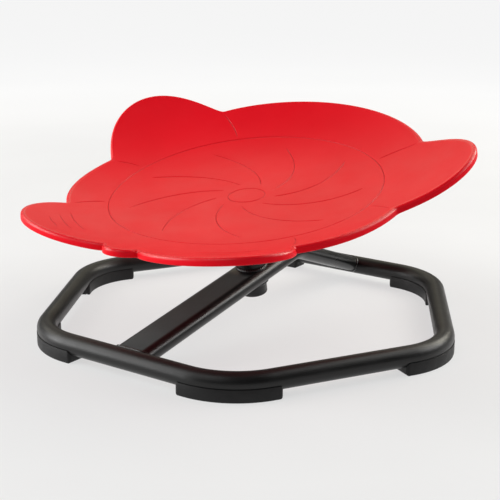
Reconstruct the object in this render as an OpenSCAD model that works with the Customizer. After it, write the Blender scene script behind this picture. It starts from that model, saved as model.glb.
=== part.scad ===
// Spinning seat for a small child: a lobed dish that turns without limit on an inclined
// spindle. The spindle runs in two ball bearings inside a hub that is welded through a bent
// flat-oval bar, and the bar spans a six-sided tubular floor ring on rubber feet.
// Millimetres. Origin at the ring's centre on the floor, +Z up, +X along the bar towards its
// high end (the back of the seat), +Y to the seat's left.

/* [Floor ring] */
// Distance from the centre to the middle of each straight side, on the tube's centre-line
ring_apothem = 250; // [235:1:270]
// Outside diameter of the ring tube
ring_tube_d = 25.4; // [24:0.1:26]
// Wall thickness of the ring tube
ring_wall = 1.5; // [1.2:0.1:2]
// Bend radius of the ring's corners, on the centre-line
ring_bend_r = 93; // [80:1:100]
// Height of the tube's centre-line above the floor
ring_z = 20.3; // [20:0.1:22]

/* [Rubber feet] */
// Straight length of each foot beyond the corner bend, at each end
foot_tail = 10; // [6:0.5:20]
// Width of each foot across the tube
foot_w = 26; // [26:0.5:30]
// Height of the foot's side walls
foot_h = 16; // [14:0.5:18]

/* [Cross bar] */
// Width of the flat-oval bar
bar_w = 51; // [46:0.5:56]
// Thickness of the flat-oval bar
bar_t = 21; // [19:0.5:23]
// Wall thickness of the bar
bar_wall = 1.5; // [1.2:0.1:2.5]
// Slope of the bar's rising limb, in degrees, which is also the lean of the spin axis
bar_tilt = 9.8; // [8:0.1:11]
// Distance from the ring's centre to the bar's bend
bend_x = 90; // [80:1:105]
// Bend radius of the bar, on its centre-line
bend_r = 60; // [45:1:80]

/* [Hub and bearings] */
// Place of the hub along the ring's axis
hub_x = 3.5; // [0:0.5:10]
// Outside diameter of the hub tube
hub_d = 36; // [36:0.5:40]
// Top of the hub above the bar's centre-line
hub_top = 66; // [64:0.5:70]
// Depth of the hub below the bar's centre-line
hub_bottom = 24; // [24:0.5:26]
// Outside diameter of each bearing
brg_od = 32; // [32:1:32]
// Bore of each bearing
brg_id = 15; // [15:1:15]
// Width of each bearing
brg_w = 9; // [9:1:9]
// Ball diameter
ball_d = 4.76; // [4.5:0.01:4.8]
// Balls in each bearing
ball_n = 9; // [7:1:9]

/* [Seat] */
// Height of the seat's middle above the bar's centre-line
seat_h = 109; // [106:0.5:112]
// Distance of the dish's middle behind the spin axis
seat_back = 5; // [0:0.5:10]
// Thickness of the seat shell
seat_t = 4; // [3.5:0.5:5]
// Depth of the turned-down lip
lip_h = 8.5; // [8:0.5:12]
// Wall of the lip
lip_t = 4; // [3.5:0.5:5]
// Turn of the seat on its axis in the rest position, in degrees
seat_turn = -1; // [-10:0.1:10]
// Mean rise of the dish at the reference radius
rise_mean = 29; // [24:0.5:34]
// Extra rise towards the back
rise_back = 11; // [6:0.5:16]
// Extra rise at front and back together
rise_ends = 3.5; // [0:0.5:6]
// Warp of the moulded shell across its corners
rise_warp = 2; // [0:0.5:3]
// Steepness of the dish towards its edge
rise_power = 3.1; // [2.6:0.1:3.6]

/* [Seat outline] */
// Half angle of the broad back edge, in degrees
ang_back = 43; // [41:0.5:46]
// Angle where each side-back lobe ends, in degrees
ang_ear = 92; // [90:0.5:94]
// Angle where each flat side ends, in degrees
ang_side = 130; // [127:0.5:133]
// Angle where each front lobe ends, in degrees
ang_front = 174; // [172:0.5:176]
// Bulge of each side-back lobe
ear_bulge = 60; // [45:1:65]
// Bulge of each front lobe
front_bulge = 48; // [35:1:52]
// Bulge of the small front tongue
tongue_bulge = 16; // [6:0.5:18]

/* [Hidden] */
$fn = 64;

black = [0.11, 0.11, 0.115];
rubber_black = [0.08, 0.08, 0.085];
steel = [0.62, 0.63, 0.65];
red = [0.86, 0.13, 0.15];

tube_r = ring_tube_d / 2;
corner_turn = 60;
side_half = ring_apothem * tan(30) - ring_bend_r * tan(30);
corner_c = (ring_apothem - ring_bend_r) / cos(30);   // centre of each corner bend
foot_gap = 0.05;

// Bar: two straight limbs from the ring's two opposite sides to one bend
apex_z = ring_z + (ring_apothem + bend_x) * tan(bar_tilt);
fall = atan((apex_z - ring_z) / (ring_apothem - bend_x));
bend_turn = bar_tilt + fall;
bend_len = bend_r * tan(bend_turn / 2);
rise_len = (ring_apothem + bend_x) / cos(bar_tilt);
fall_len = (ring_apothem - bend_x) / cos(fall);

// Heights along the spin axis, from the bar's centre-line
hub_z = ring_z + (ring_apothem + hub_x) * tan(bar_tilt);
hub_r = hub_d / 2;
upper_lo = hub_top - 11;                 // shoulder under the upper bearing
upper_hi = upper_lo + brg_w;
lower_hi = 0;                            // shoulder above the lower bearing
lower_lo = lower_hi - brg_w;
race_r = brg_od / 2;
shaft_r = brg_id / 2;
ball_r = ball_d / 2;
ball_path = (race_r + shaft_r) / 2;
fit_gap = 0.02;
run_gap = 0.25;                          // ball to groove, and ball to cage pocket
boss_lo = seat_h - 20;                   // underside of the seat's mounting ring
boss_in = 40;
boss_out = 62;
plate_t = 4;
plate_lo = boss_lo - plate_t;
plate_r = 60;
bolt_pcd_r = 50;
washer_t = 1.6;
bolt_head = 4;

// ---------- placement ----------
module at_corner(k) { rotate([0, 0, 30 + 60 * k]) children(); }
module on_axis() { translate([hub_x, 0, hub_z]) rotate([0, -bar_tilt, 0]) children(); }
module on_seat() { on_axis() rotate([0, 0, seat_turn]) children(); }

// ---------- shared shapes ----------
module disc_ring(r_out, r_in, z0, z1) {
    translate([0, 0, z0]) difference() {
        cylinder(r = r_out, h = z1 - z0);
        translate([0, 0, -1]) cylinder(r = r_in, h = z1 - z0 + 2);
    }
}

// A section carried along a run of stations. Each station is [place, across, up], and a section
// point [s, t] lies s across and t up from the place. The section's points run clockwise.
function carry(stations, section) = [for (f = stations) for (q = section)
    f[0] + q[0] * f[1] + q[1] * f[2]];
module sweep(stations, section, closed) {
    n = len(stations);
    m = len(section);
    last = closed ? n - 1 : n - 2;
    sides = [for (j = [0:last]) for (i = [0:m - 1]) for (h = [0, 1])
        let (a = j * m, b = ((j + 1) % n) * m, k = (i + 1) % m)
            h == 0 ? [a + i, b + i, b + k] : [a + i, b + k, a + k]];
    ends = closed ? [] : [[for (i = [0:m - 1]) i], [for (i = [m - 1:-1:0]) (n - 1) * m + i]];
    polyhedron(points = carry(stations, section), faces = concat(sides, ends));
}

function out(a) = [cos(a), sin(a), 0];
corner_steps = 8;
// Stations round the corner that points at angle c, with straight tails of the given length
function corner_run(c, z, tail) = let (
        mid = corner_c * out(c) + [0, 0, z],
        arc = [for (i = [0:corner_steps]) let (a = c - 30 + 60 * i / corner_steps)
            [mid + ring_bend_r * out(a), out(a), [0, 0, 1]]],
        a0 = c - 30, a1 = c + 30)
    tail == 0 ? arc : concat(
        [[mid + ring_bend_r * out(a0) - tail * out(a0 + 90), out(a0), [0, 0, 1]]], arc,
        [[mid + ring_bend_r * out(a1) + tail * out(a1 + 90), out(a1), [0, 0, 1]]]);
ring_run = [for (k = [0:5]) for (f = corner_run(30 + 60 * k, ring_z, 0)) f];
function round_section(r, n) = [for (i = [0:n - 1]) r * [cos(-360 * i / n), sin(-360 * i / n)]];
function oval_section(w, t) = concat(
    [for (i = [0:12]) [(w - t) / 2 + t / 2 * cos(90 - 15 * i), t / 2 * sin(90 - 15 * i)]],
    [for (i = [0:12]) [-(w - t) / 2 + t / 2 * cos(270 - 15 * i), t / 2 * sin(270 - 15 * i)]]);
// Stations along the bar, from its low end over the bend to its far end
function bar_frame(x, z, lean) = [[x, 0, z], [0, -1, 0], [-sin(lean), 0, cos(lean)]];
bar_stations = concat(
    [bar_frame(-ring_apothem, ring_z, bar_tilt)],
    [for (i = [0:8]) let (lean = bar_tilt - bend_turn * i / 8)
        bar_frame(bend_x - bend_len * cos(bar_tilt) + bend_r * (sin(bar_tilt) - sin(lean)),
                  apex_z - bend_len * sin(bar_tilt) - bend_r * (cos(bar_tilt) - cos(lean)), lean)],
    [bar_frame(ring_apothem, ring_z, -fall)]);

module flat_oval(w, t) {
    square([w - t, t], center = true);
    for (s = [-1, 1]) translate([s * (w - t) / 2, 0]) circle(d = t);
}

// Straight limb: starts at the ring's centre-line and runs along +X
module limb(len, grow) {
    rotate([90, 0, 90]) linear_extrude(height = len) flat_oval(bar_w + 2 * grow, bar_t + 2 * grow);
}

module bar_run(grow) {
    translate([-ring_apothem, 0, ring_z]) rotate([0, -bar_tilt, 0])
        limb(rise_len - bend_len, grow);
    translate([ring_apothem, 0, ring_z]) rotate([0, 0, 180]) rotate([0, -fall, 0])
        limb(fall_len - bend_len, grow);
    // the bend turns about an axis across the bar
    translate([bend_x, 0, apex_z]) rotate([0, -bar_tilt, 0]) translate([-bend_len, 0, -bend_r])
        rotate([90, 0, 0]) rotate([0, 0, 90 - bend_turn])
            rotate_extrude(angle = bend_turn, $fn = 128) translate([bend_r, 0]) rotate([0, 0, 90])
                flat_oval(bar_w + 2 * grow, bar_t + 2 * grow);
}

module ring_sides(r) {
    for (s = [0, 180]) rotate([0, 0, s]) translate([ring_apothem, 0, ring_z])
        rotate([90, 0, 0]) cylinder(r = r, h = 2 * side_half, center = true);
}

// ---------- base ----------
module base_ring() color(black) difference() {
    sweep(ring_run, round_section(tube_r, 24), true);
    sweep(ring_run, round_section(tube_r - ring_wall, 24), true);
    // screw holes under the corners
    for (k = [0:5]) at_corner(k) translate([corner_c + ring_bend_r, 0, 0])
        cylinder(r = 2, h = ring_z);
}

module cross_bar() color(black) difference() {
    sweep(bar_stations, oval_section(bar_w, bar_t), false);
    sweep(bar_stations, oval_section(bar_w - 2 * bar_wall, bar_t - 2 * bar_wall), false);
    ring_sides(tube_r);
    on_axis() cylinder(r = hub_r, h = 4 * bar_t, center = true);
}

module hub_tube() color(black) on_axis() difference() {
    translate([0, 0, -hub_bottom]) cylinder(r = hub_r, h = hub_bottom + hub_top);
    translate([0, 0, -hub_bottom - 1]) cylinder(r = race_r - 1.5, h = hub_bottom + hub_top + 2);
    translate([0, 0, -hub_bottom - 1]) cylinder(r = race_r + fit_gap, h = hub_bottom + 1 + lower_hi);
    translate([0, 0, upper_lo]) cylinder(r = race_r + fit_gap, h = hub_top - upper_lo + 1);
}

module hub_welds() color(black) difference() {
    on_axis() for (s = [-1, 1]) translate([0, 0, s * (bar_t / 2 - 0.8)])
        rotate_extrude($fn = 96) translate([hub_r + 1, 0]) circle(r = 3.2);
    on_axis() cylinder(r = hub_r, h = 4 * bar_t, center = true);
    bar_run(0);
}

module bar_end_welds() color(black) difference() {
    intersection() {
        union() {
            translate([-ring_apothem, 0, ring_z]) rotate([0, -bar_tilt, 0]) limb(30, 2.6);
            translate([ring_apothem, 0, ring_z]) rotate([0, 0, 180]) rotate([0, -fall, 0]) limb(30, 2.6);
        }
        ring_sides(tube_r + 3);
    }
    ring_sides(tube_r);
    bar_run(0);
}

// Cross section of a foot: flat sole with eased edges, hollowed to hug the tube
hug_r = tube_r + foot_gap;
hug_a = asin((ring_z - foot_h) / hug_r);
foot_section = concat(
    [[foot_w / 2 - 1.2, 0], [-foot_w / 2 + 1.2, 0], [-foot_w / 2, 1.2], [-foot_w / 2, foot_h]],
    [for (i = [0:12]) let (a = 180 + hug_a + (180 - 2 * hug_a) * i / 12)
        [hug_r / cos(6) * cos(a), max(0, ring_z + hug_r / cos(6) * sin(a))]],
    [[foot_w / 2, foot_h], [foot_w / 2, 1.2]]);

module saddle_foot(k) difference() {
    sweep(corner_run(30 + 60 * k, 0, foot_tail), foot_section, false);
    at_corner(k) translate([corner_c + ring_bend_r, 0, -1]) {
        cylinder(r = 2.3, h = 20);
        cylinder(r = 5, h = 4.5);
    }
}

module foot_back_left() color(rubber_black) saddle_foot(0);
module foot_left() color(rubber_black) saddle_foot(1);
module foot_front_left() color(rubber_black) saddle_foot(2);
module foot_front_right() color(rubber_black) saddle_foot(3);
module foot_right() color(rubber_black) saddle_foot(4);
module foot_back_right() color(rubber_black) saddle_foot(5);

module foot_screws() color(steel) for (k = [0:5]) at_corner(k)
    translate([corner_c + ring_bend_r, 0, 0]) difference() {
        union() {
            translate([0, 0, 0.9]) cylinder(r = 4.2, h = 2.55);
            translate([0, 0, 3.4]) cylinder(r = 1.95, h = 10.6);
        }
        translate([-2.6, -0.5, 0.5]) cube([5.2, 1, 1.6]);
        translate([-0.5, -2.6, 0.5]) cube([1, 5.2, 1.6]);
    }

module hub_end_cap() color(rubber_black) on_axis() {
    rotate_extrude($fn = 96) difference() {
        union() {
            translate([0, -hub_bottom - 4]) square([hub_r - 2.5, 4]);
            translate([0, -hub_bottom - 1.5]) square([hub_r, 1.5]);
            intersection() {
                translate([hub_r - 2.5, -hub_bottom - 1.5]) circle(r = 2.5, $fn = 48);
                translate([hub_r - 2.5, -hub_bottom - 4]) square([2.5, 2.5]);
            }
        }
        translate([-1, -hub_bottom - 5]) square([1, 8]);
    }
    disc_ring(race_r - 0.05, race_r - 2, -hub_bottom, -hub_bottom + 6.5);
}

// ---------- bearings ----------
module race_groove(z) {
    translate([0, 0, z + brg_w / 2]) rotate_extrude($fn = 96)
        translate([ball_path, 0]) circle(r = ball_r + run_gap, $fn = 48);
}

module outer_race(z) difference() {
    disc_ring(race_r, ball_path + 2.2, z, z + brg_w);
    race_groove(z);
}

module inner_race(z) difference() {
    disc_ring(ball_path - 2.2, shaft_r + fit_gap, z, z + brg_w);
    race_groove(z);
}

module balls(z) for (i = [0:ball_n - 1]) rotate([0, 0, 360 * i / ball_n])
    translate([ball_path, 0, z + brg_w / 2]) sphere(r = ball_r);

module cage(z) difference() {
    disc_ring(ball_path + 0.9, ball_path - 0.9, z + brg_w / 2 - 3.4, z + brg_w / 2 + 3.4);
    for (i = [0:ball_n - 1]) rotate([0, 0, 360 * i / ball_n])
        translate([ball_path - 3, 0, z + brg_w / 2]) rotate([0, 90, 0])
            cylinder(r = ball_r + run_gap, h = 6);
}

module upper_bearing_outer_race() color(steel) on_axis() outer_race(upper_lo);
module lower_bearing_outer_race() color(steel) on_axis() outer_race(lower_lo);
module upper_bearing_inner_race() color(steel) on_axis() inner_race(upper_lo);
module lower_bearing_inner_race() color(steel) on_axis() inner_race(lower_lo);
module upper_bearing_balls() color([0.8, 0.8, 0.82]) on_axis() balls(upper_lo);
module lower_bearing_balls() color([0.8, 0.8, 0.82]) on_axis() balls(lower_lo);
module upper_bearing_cage() color([0.75, 0.7, 0.55]) on_axis() cage(upper_lo);
module lower_bearing_cage() color([0.75, 0.7, 0.55]) on_axis() cage(lower_lo);

module inner_spacer() color(steel) on_axis()
    disc_ring(ball_path - 2.4, shaft_r + fit_gap, lower_hi, upper_lo);

// ---------- spindle ----------
module spindle() color(steel) on_axis() {
    translate([0, 0, -hub_bottom + 1.5]) cylinder(r = 6, h = hub_bottom - 1.5 + lower_lo);
    translate([0, 0, lower_lo]) cylinder(r = shaft_r, h = upper_hi - lower_lo);
    translate([0, 0, upper_hi]) cylinder(r = 10.5, h = plate_lo - upper_hi);
    translate([0, 0, plate_lo]) cylinder(r = shaft_r, h = plate_t);
}

module lock_washer() color(steel) on_axis() disc_ring(9.2, 6 + fit_gap, lower_lo - 2, lower_lo);

module lock_nut() color(steel) on_axis() difference() {
    translate([0, 0, lower_lo - 12]) cylinder(r = 10.4, h = 10, $fn = 6);
    translate([0, 0, lower_lo - 13]) cylinder(r = 6 + fit_gap, h = 12);
}

module dust_shield() color(rubber_black) on_axis()
    disc_ring(hub_r + 1.5, 10.5 + fit_gap, hub_top + 0.8, hub_top + 2.4);

module seat_plate() color(black) on_seat() difference() {
    translate([0, 0, plate_lo]) cylinder(r = plate_r, h = plate_t, $fn = 96);
    translate([0, 0, plate_lo - 1]) cylinder(r = shaft_r, h = plate_t + 2);
    for (a = [45:90:315]) rotate([0, 0, a]) translate([bolt_pcd_r, 0, plate_lo - 1])
        cylinder(r = 3.3, h = plate_t + 2);
}

module plate_weld() color(black) on_axis() difference() {
    translate([0, 0, plate_lo - 4]) cylinder(r1 = 11, r2 = 14.5, h = 4);
    translate([0, 0, plate_lo - 5]) cylinder(r = 10.5, h = 6);
}

// ---------- seat ----------
// Outline of the seat as [angle, radius], lobe by lobe, the same on both sides
function lobe(u, ra, rb, bulge, full, lean) =
    ra + (rb - ra) * u + bulge * pow(max(0, 4 * u * (1 - u)), full) * (1 + lean * (2 * u - 1));
r_back = 241.5;
r_ear = 227;
r_side = 231;
r_front = 243;
back_pts = [for (i = [0:23]) let (u = i / 24)
    [-ang_back + 2 * ang_back * u, lobe(u, r_back, r_back, 8.5, 0.82, 0)]];
ear_pts = [for (i = [0:17]) let (u = i / 18)
    [ang_back + (ang_ear - ang_back) * u, lobe(u, r_back, r_ear, ear_bulge, 1.3, 0)]];
side_pts = [for (i = [0:9]) let (u = i / 10)
    [ang_ear + (ang_side - ang_ear) * u, lobe(u, r_ear, r_side, 5.5, 1, 0.5)]];
front_pts = [for (i = [0:15]) let (u = i / 16)
    [ang_side + (ang_front - ang_side) * u, lobe(u, r_side, r_front, front_bulge, 0.6, -0.6)]];
tongue_pts = [for (i = [0:6]) let (u = i / 6)
    [ang_front + (360 - 2 * ang_front) * u, lobe(u, r_front, r_front, tongue_bulge, 0.68, 0)]];
left_pts = concat(ear_pts, side_pts, front_pts);
right_pts = [for (i = [len(left_pts) - 1:-1:1]) [360 - left_pts[i][0], left_pts[i][1]]];
outline = concat(back_pts, left_pts, tongue_pts, right_pts);

// Height of the dish's top face at radius r and angle a: level in the middle, rising to the
// edge, most at the back
rise_ref = 233;
function dish(r, a) = seat_h + pow(r / rise_ref, rise_power)
    * (rise_mean + rise_back * cos(a) + rise_ends * cos(2 * a) - 1.3 * cos(3 * a)
       + rise_warp * (sin(a) + sin(2 * a)));

// One radial cut through the shell, from the top's middle round the lip to the underside
edge_r = 3.6;
function cut(a, R) = let (q = R - edge_r, e = dish(q, a))
    concat(
        [for (s = [0.15, 0.32, 0.47, 0.6, 0.72, 0.83, 0.92, 1]) [q * s, dish(q * s, a)]],
        [[R - edge_r * 0.3, e - edge_r * 0.3], [R, e - edge_r], [R, e - lip_h + 1],
         [R - 1, e - lip_h], [R - lip_t + 0.5, e - lip_h]],
        [let (r = R - lip_t) [r, min(dish(r, a) - seat_t, e - edge_r)]],
        [for (s = [0.9, 0.78, 0.64, 0.49, 0.36]) [q * s, dish(q * s, a) - seat_t]],
        [[boss_out, dish(boss_out, a) - seat_t], [boss_out, boss_lo], [boss_in, boss_lo],
         [boss_in, seat_h - seat_t]]
    );

module shell_solid() {
    n = len(outline);
    cuts = [for (p = outline) cut(p[0], p[1])];
    k = len(cuts[0]);
    // the mounting ring's four points of each cut lie about the spin axis, the rest about the dish
    pts = concat(
        [for (j = [0:n - 1]) for (i = [0:k - 1])
            let (c = cuts[j][i], off = i < k - 4 ? 0 : seat_back)
                [c[0] * cos(outline[j][0]) - off, c[0] * sin(outline[j][0]), c[1]]],
        [[0, 0, seat_h], [-seat_back, 0, seat_h - seat_t]]);
    top = n * k;
    bot = n * k + 1;
    faces = concat(
        [for (j = [0:n - 1]) let (j2 = (j + 1) % n) [j * k, top, j2 * k]],
        [for (j = [0:n - 1]) let (j2 = (j + 1) % n) [j2 * k + k - 1, bot, j * k + k - 1]],
        [for (j = [0:n - 1]) let (j2 = (j + 1) % n) for (i = [0:k - 2])
            [j * k + i, j2 * k + i, j2 * k + i + 1]],
        [for (j = [0:n - 1]) let (j2 = (j + 1) % n) for (i = [0:k - 2])
            [j * k + i, j2 * k + i + 1, j * k + i + 1]]);
    polyhedron(points = pts, faces = faces);
}

module seat_shell() color(red) on_seat() difference() {
    translate([seat_back, 0, 0]) shell_solid();
    for (a = [45:90:315]) rotate([0, 0, a]) translate([bolt_pcd_r, 0, boss_lo - 1])
        cylinder(r = 4 + fit_gap, h = 13.5);
}

module threaded_inserts() color([0.72, 0.58, 0.3]) on_seat()
    for (a = [45:90:315]) rotate([0, 0, a]) translate([bolt_pcd_r, 0, 0])
        disc_ring(4, 3 + fit_gap, boss_lo, boss_lo + 12);

module seat_bolts() color(steel) on_seat() for (a = [45:90:315]) rotate([0, 0, a])
    translate([bolt_pcd_r, 0, plate_lo - washer_t]) {
        translate([0, 0, -bolt_head]) cylinder(r = 5.77, h = bolt_head, $fn = 6);
        cylinder(r = 3, h = 16);
    }

module bolt_washers() color(steel) on_seat() for (a = [45:90:315]) rotate([0, 0, a])
    translate([bolt_pcd_r, 0, 0]) disc_ring(6.2, 3.2, plate_lo - washer_t, plate_lo);

base_ring();
cross_bar();
hub_tube();
hub_welds();
bar_end_welds();
foot_back_left();
foot_left();
foot_front_left();
foot_front_right();
foot_right();
foot_back_right();
foot_screws();
hub_end_cap();
upper_bearing_outer_race();
lower_bearing_outer_race();
upper_bearing_balls();
lower_bearing_balls();
upper_bearing_cage();
lower_bearing_cage();
upper_bearing_inner_race();
lower_bearing_inner_race();
inner_spacer();
spindle();
lock_washer();
lock_nut();
dust_shield();
seat_plate();
plate_weld();
seat_shell();
threaded_inserts();
seat_bolts();
bolt_washers();
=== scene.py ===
import math

import bmesh
import bpy
import numpy as np
from mathutils import Matrix, Vector
from mathutils.geometry import delaunay_2d_cdt


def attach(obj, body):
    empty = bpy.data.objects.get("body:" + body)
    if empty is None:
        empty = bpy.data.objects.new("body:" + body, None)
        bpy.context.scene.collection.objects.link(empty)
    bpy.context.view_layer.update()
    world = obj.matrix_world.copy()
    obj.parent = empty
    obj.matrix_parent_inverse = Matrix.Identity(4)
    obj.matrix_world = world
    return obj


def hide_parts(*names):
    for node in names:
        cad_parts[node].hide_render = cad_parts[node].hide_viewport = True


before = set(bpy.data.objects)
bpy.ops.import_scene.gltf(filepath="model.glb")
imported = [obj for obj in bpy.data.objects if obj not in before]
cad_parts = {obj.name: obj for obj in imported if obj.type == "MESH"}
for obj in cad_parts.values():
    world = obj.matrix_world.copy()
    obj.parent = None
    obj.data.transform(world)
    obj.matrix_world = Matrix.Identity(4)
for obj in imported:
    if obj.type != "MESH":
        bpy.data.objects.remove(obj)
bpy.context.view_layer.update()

SCENE = bpy.context.scene
MM = 0.001

# ------------------------------------------------------------------ sizes, in millimetres
RING_A, TUBE_R, BEND_R, RING_Z = 250.0, 12.7, 93.0, 20.3
FOOT_TAIL, FOOT_W, FOOT_H = 10.0, 26.0, 16.0
BAR_W, BAR_T, BAR_TILT, BEND_X, BAR_BEND_R = 51.0, 21.0, 9.8, 90.0, 60.0
HUB_X, HUB_R, HUB_TOP, HUB_BOTTOM = 3.5, 18.0, 66.0, 24.0
RACE_R = 16.02
SEAT_H, SEAT_T, LIP_H, LIP_T, SEAT_TURN, SEAT_BACK = 109.0, 4.0, 8.5, 4.0, -1.0, 5.0
RISE_MEAN, RISE_BACK, RISE_ENDS, RISE_WARP, RISE_POWER, RISE_REF = 29.0, 11.0, 3.5, 2.0, 3.1, 233.0
ANG_BACK, ANG_EAR, ANG_SIDE, ANG_FRONT = 43.0, 92.0, 130.0, 174.0
R_BACK, R_EAR, R_SIDE, R_FRONT = 241.5, 227.0, 231.0, 243.0
EAR_BULGE, FRONT_BULGE, TONGUE_BULGE = 60.0, 48.0, 16.0
BOSS_LO, BOSS_IN, BOSS_OUT = SEAT_H - 20.0, 40.0, 62.0
PLATE_T, PLATE_R, BOLT_R, WASHER_T = 4.0, 60.0, 50.0, 1.6
PLATE_LO = BOSS_LO - PLATE_T
CORNER_C = (RING_A - BEND_R) / math.cos(math.radians(30))
HUB_Z = RING_Z + (RING_A + HUB_X) * math.tan(math.radians(BAR_TILT))


def on_axis(p):
    """Points given about the spin axis, brought to the row frame."""
    p = np.asarray(p, float)
    c, s = math.cos(math.radians(BAR_TILT)), math.sin(math.radians(BAR_TILT))
    return np.stack([HUB_X + p[..., 0] * c - p[..., 2] * s, p[..., 1],
                     HUB_Z + p[..., 0] * s + p[..., 2] * c], -1)


def on_seat(p):
    p = np.asarray(p, float)
    c, s = math.cos(math.radians(SEAT_TURN)), math.sin(math.radians(SEAT_TURN))
    return on_axis(np.stack([p[..., 0] * c - p[..., 1] * s, p[..., 0] * s + p[..., 1] * c, p[..., 2]], -1))


# ------------------------------------------------------------------ mesh helpers
def skin(loops, closed, caps=True):
    """Faces over a run of loops that have the same number of points."""
    n, m = len(loops), len(loops[0])
    verts = np.concatenate([np.asarray(q, float) for q in loops])
    faces = []
    for j in range(n if closed else n - 1):
        a, b = j * m, ((j + 1) % n) * m
        faces += [(a + i, a + (i + 1) % m, b + (i + 1) % m, b + i) for i in range(m)]
    if not closed and caps:
        faces.append(tuple(range(m)))
        faces.append(tuple(range((n - 1) * m, n * m)))
    return verts, faces


def revolve(profile, n=96):
    """A closed [r, h] loop turned about the axis."""
    a = np.linspace(0, 2 * math.pi, n, endpoint=False)
    loops = [np.array([[r * math.cos(t), r * math.sin(t), h] for r, h in profile]) for t in a]
    return skin(loops, True)


def join(*parts):
    verts, faces, at = [], [], 0
    for v, f in parts:
        verts.append(np.asarray(v, float))
        faces += [tuple(i + at for i in q) for q in f]
        at += len(v)
    return np.concatenate(verts), faces


def ease(a, b, x):
    u = np.clip((x - a) / (b - a), 0, 1)
    return u * u * (3 - 2 * u)


def add_piece(name, verts, faces, mat, body, replaces=(), slot=None, sharp=None, values=None):
    me = bpy.data.meshes.new(name)
    me.from_pydata((np.asarray(verts, float) * MM).tolist(), [], [tuple(int(i) for i in f) for f in faces])
    bm = bmesh.new()
    bm.from_mesh(me)
    bmesh.ops.recalc_face_normals(bm, faces=bm.faces)
    bm.to_mesh(me)
    bm.free()
    me.shade_smooth()
    if sharp is not None:
        me.set_sharp_from_angle(angle=math.radians(sharp))
    for key, data in (values or {}).items():
        at = me.attributes.new(key, "FLOAT", "POINT")
        at.data.foreach_set("value", np.asarray(data, np.float32))
    me.materials.append(mat)
    ob = bpy.data.objects.new(name, me)
    SCENE.collection.objects.link(ob)
    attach(ob, body)
    if replaces:
        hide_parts(*replaces)
    return ob


def cut(ob, verts, faces, sharp):
    """Takes a closed shape out of a piece and tidies the edges of the cut."""
    me = bpy.data.meshes.new("cut")
    me.from_pydata((np.asarray(verts, float) * MM).tolist(), [], faces)
    bm = bmesh.new()
    bm.from_mesh(me)
    bmesh.ops.remove_doubles(bm, verts=bm.verts, dist=2e-5)
    bmesh.ops.recalc_face_normals(bm, faces=bm.faces)
    bm.to_mesh(me)
    bm.free()
    tool = bpy.data.objects.new("cut", me)
    SCENE.collection.objects.link(tool)
    mod = ob.modifiers.new("cut", "BOOLEAN")
    mod.object, mod.operation, mod.solver = tool, "DIFFERENCE", "EXACT"
    bpy.context.view_layer.update()
    done = bpy.data.meshes.new_from_object(ob.evaluated_get(bpy.context.evaluated_depsgraph_get()))
    ob.modifiers.clear()
    bm = bmesh.new()
    bm.from_mesh(done)
    bmesh.ops.remove_doubles(bm, verts=bm.verts, dist=4e-5)
    bmesh.ops.dissolve_degenerate(bm, edges=bm.edges, dist=2e-5)
    bmesh.ops.triangulate(bm, faces=[q for q in bm.faces if len(q.verts) > 4])
    bm.to_mesh(done)
    bm.free()
    ob.data = done
    bpy.data.objects.remove(tool)
    done.shade_smooth()
    done.set_sharp_from_angle(angle=math.radians(sharp))
    return done


def bead(path, lift, radius, ripple=2.7, sides=10, flat=0.8, seed=1, wavy=0.16):
    """A closed weld bead along path. lift is the direction that each point's bead stands proud in."""
    rng = np.random.default_rng(seed)
    path, lift = np.asarray(path, float), np.asarray(lift, float)
    n = len(path)
    tang = np.roll(path, -1, 0) - np.roll(path, 1, 0)
    step = np.linalg.norm(np.roll(path, -1, 0) - path, axis=1)
    tang /= np.linalg.norm(tang, axis=1)[:, None]
    lift = lift - (lift * tang).sum(1)[:, None] * tang
    lift /= np.linalg.norm(lift, axis=1)[:, None]
    side = np.cross(tang, lift)
    total = step.sum()
    s = np.r_[0, np.cumsum(step)[:-1]]
    count = max(6, round(total / ripple))
    wave = np.abs(np.sin(math.pi * s / total * count)) ** 0.7
    k = np.arange(1, 6)
    drift = sum(np.sin(2 * math.pi * q * s / total + rng.uniform(0, 6.28)) for q in k) / 5
    r = radius * (1.02 - wavy + wavy * wave + 0.07 * drift)
    a = np.linspace(0, 2 * math.pi, sides, endpoint=False)
    loops = [path[i] + r[i] * (np.cos(a)[:, None] * side[i] + flat * np.sin(a)[:, None] * lift[i]) for i in range(n)]
    return skin(loops, True)


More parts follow.
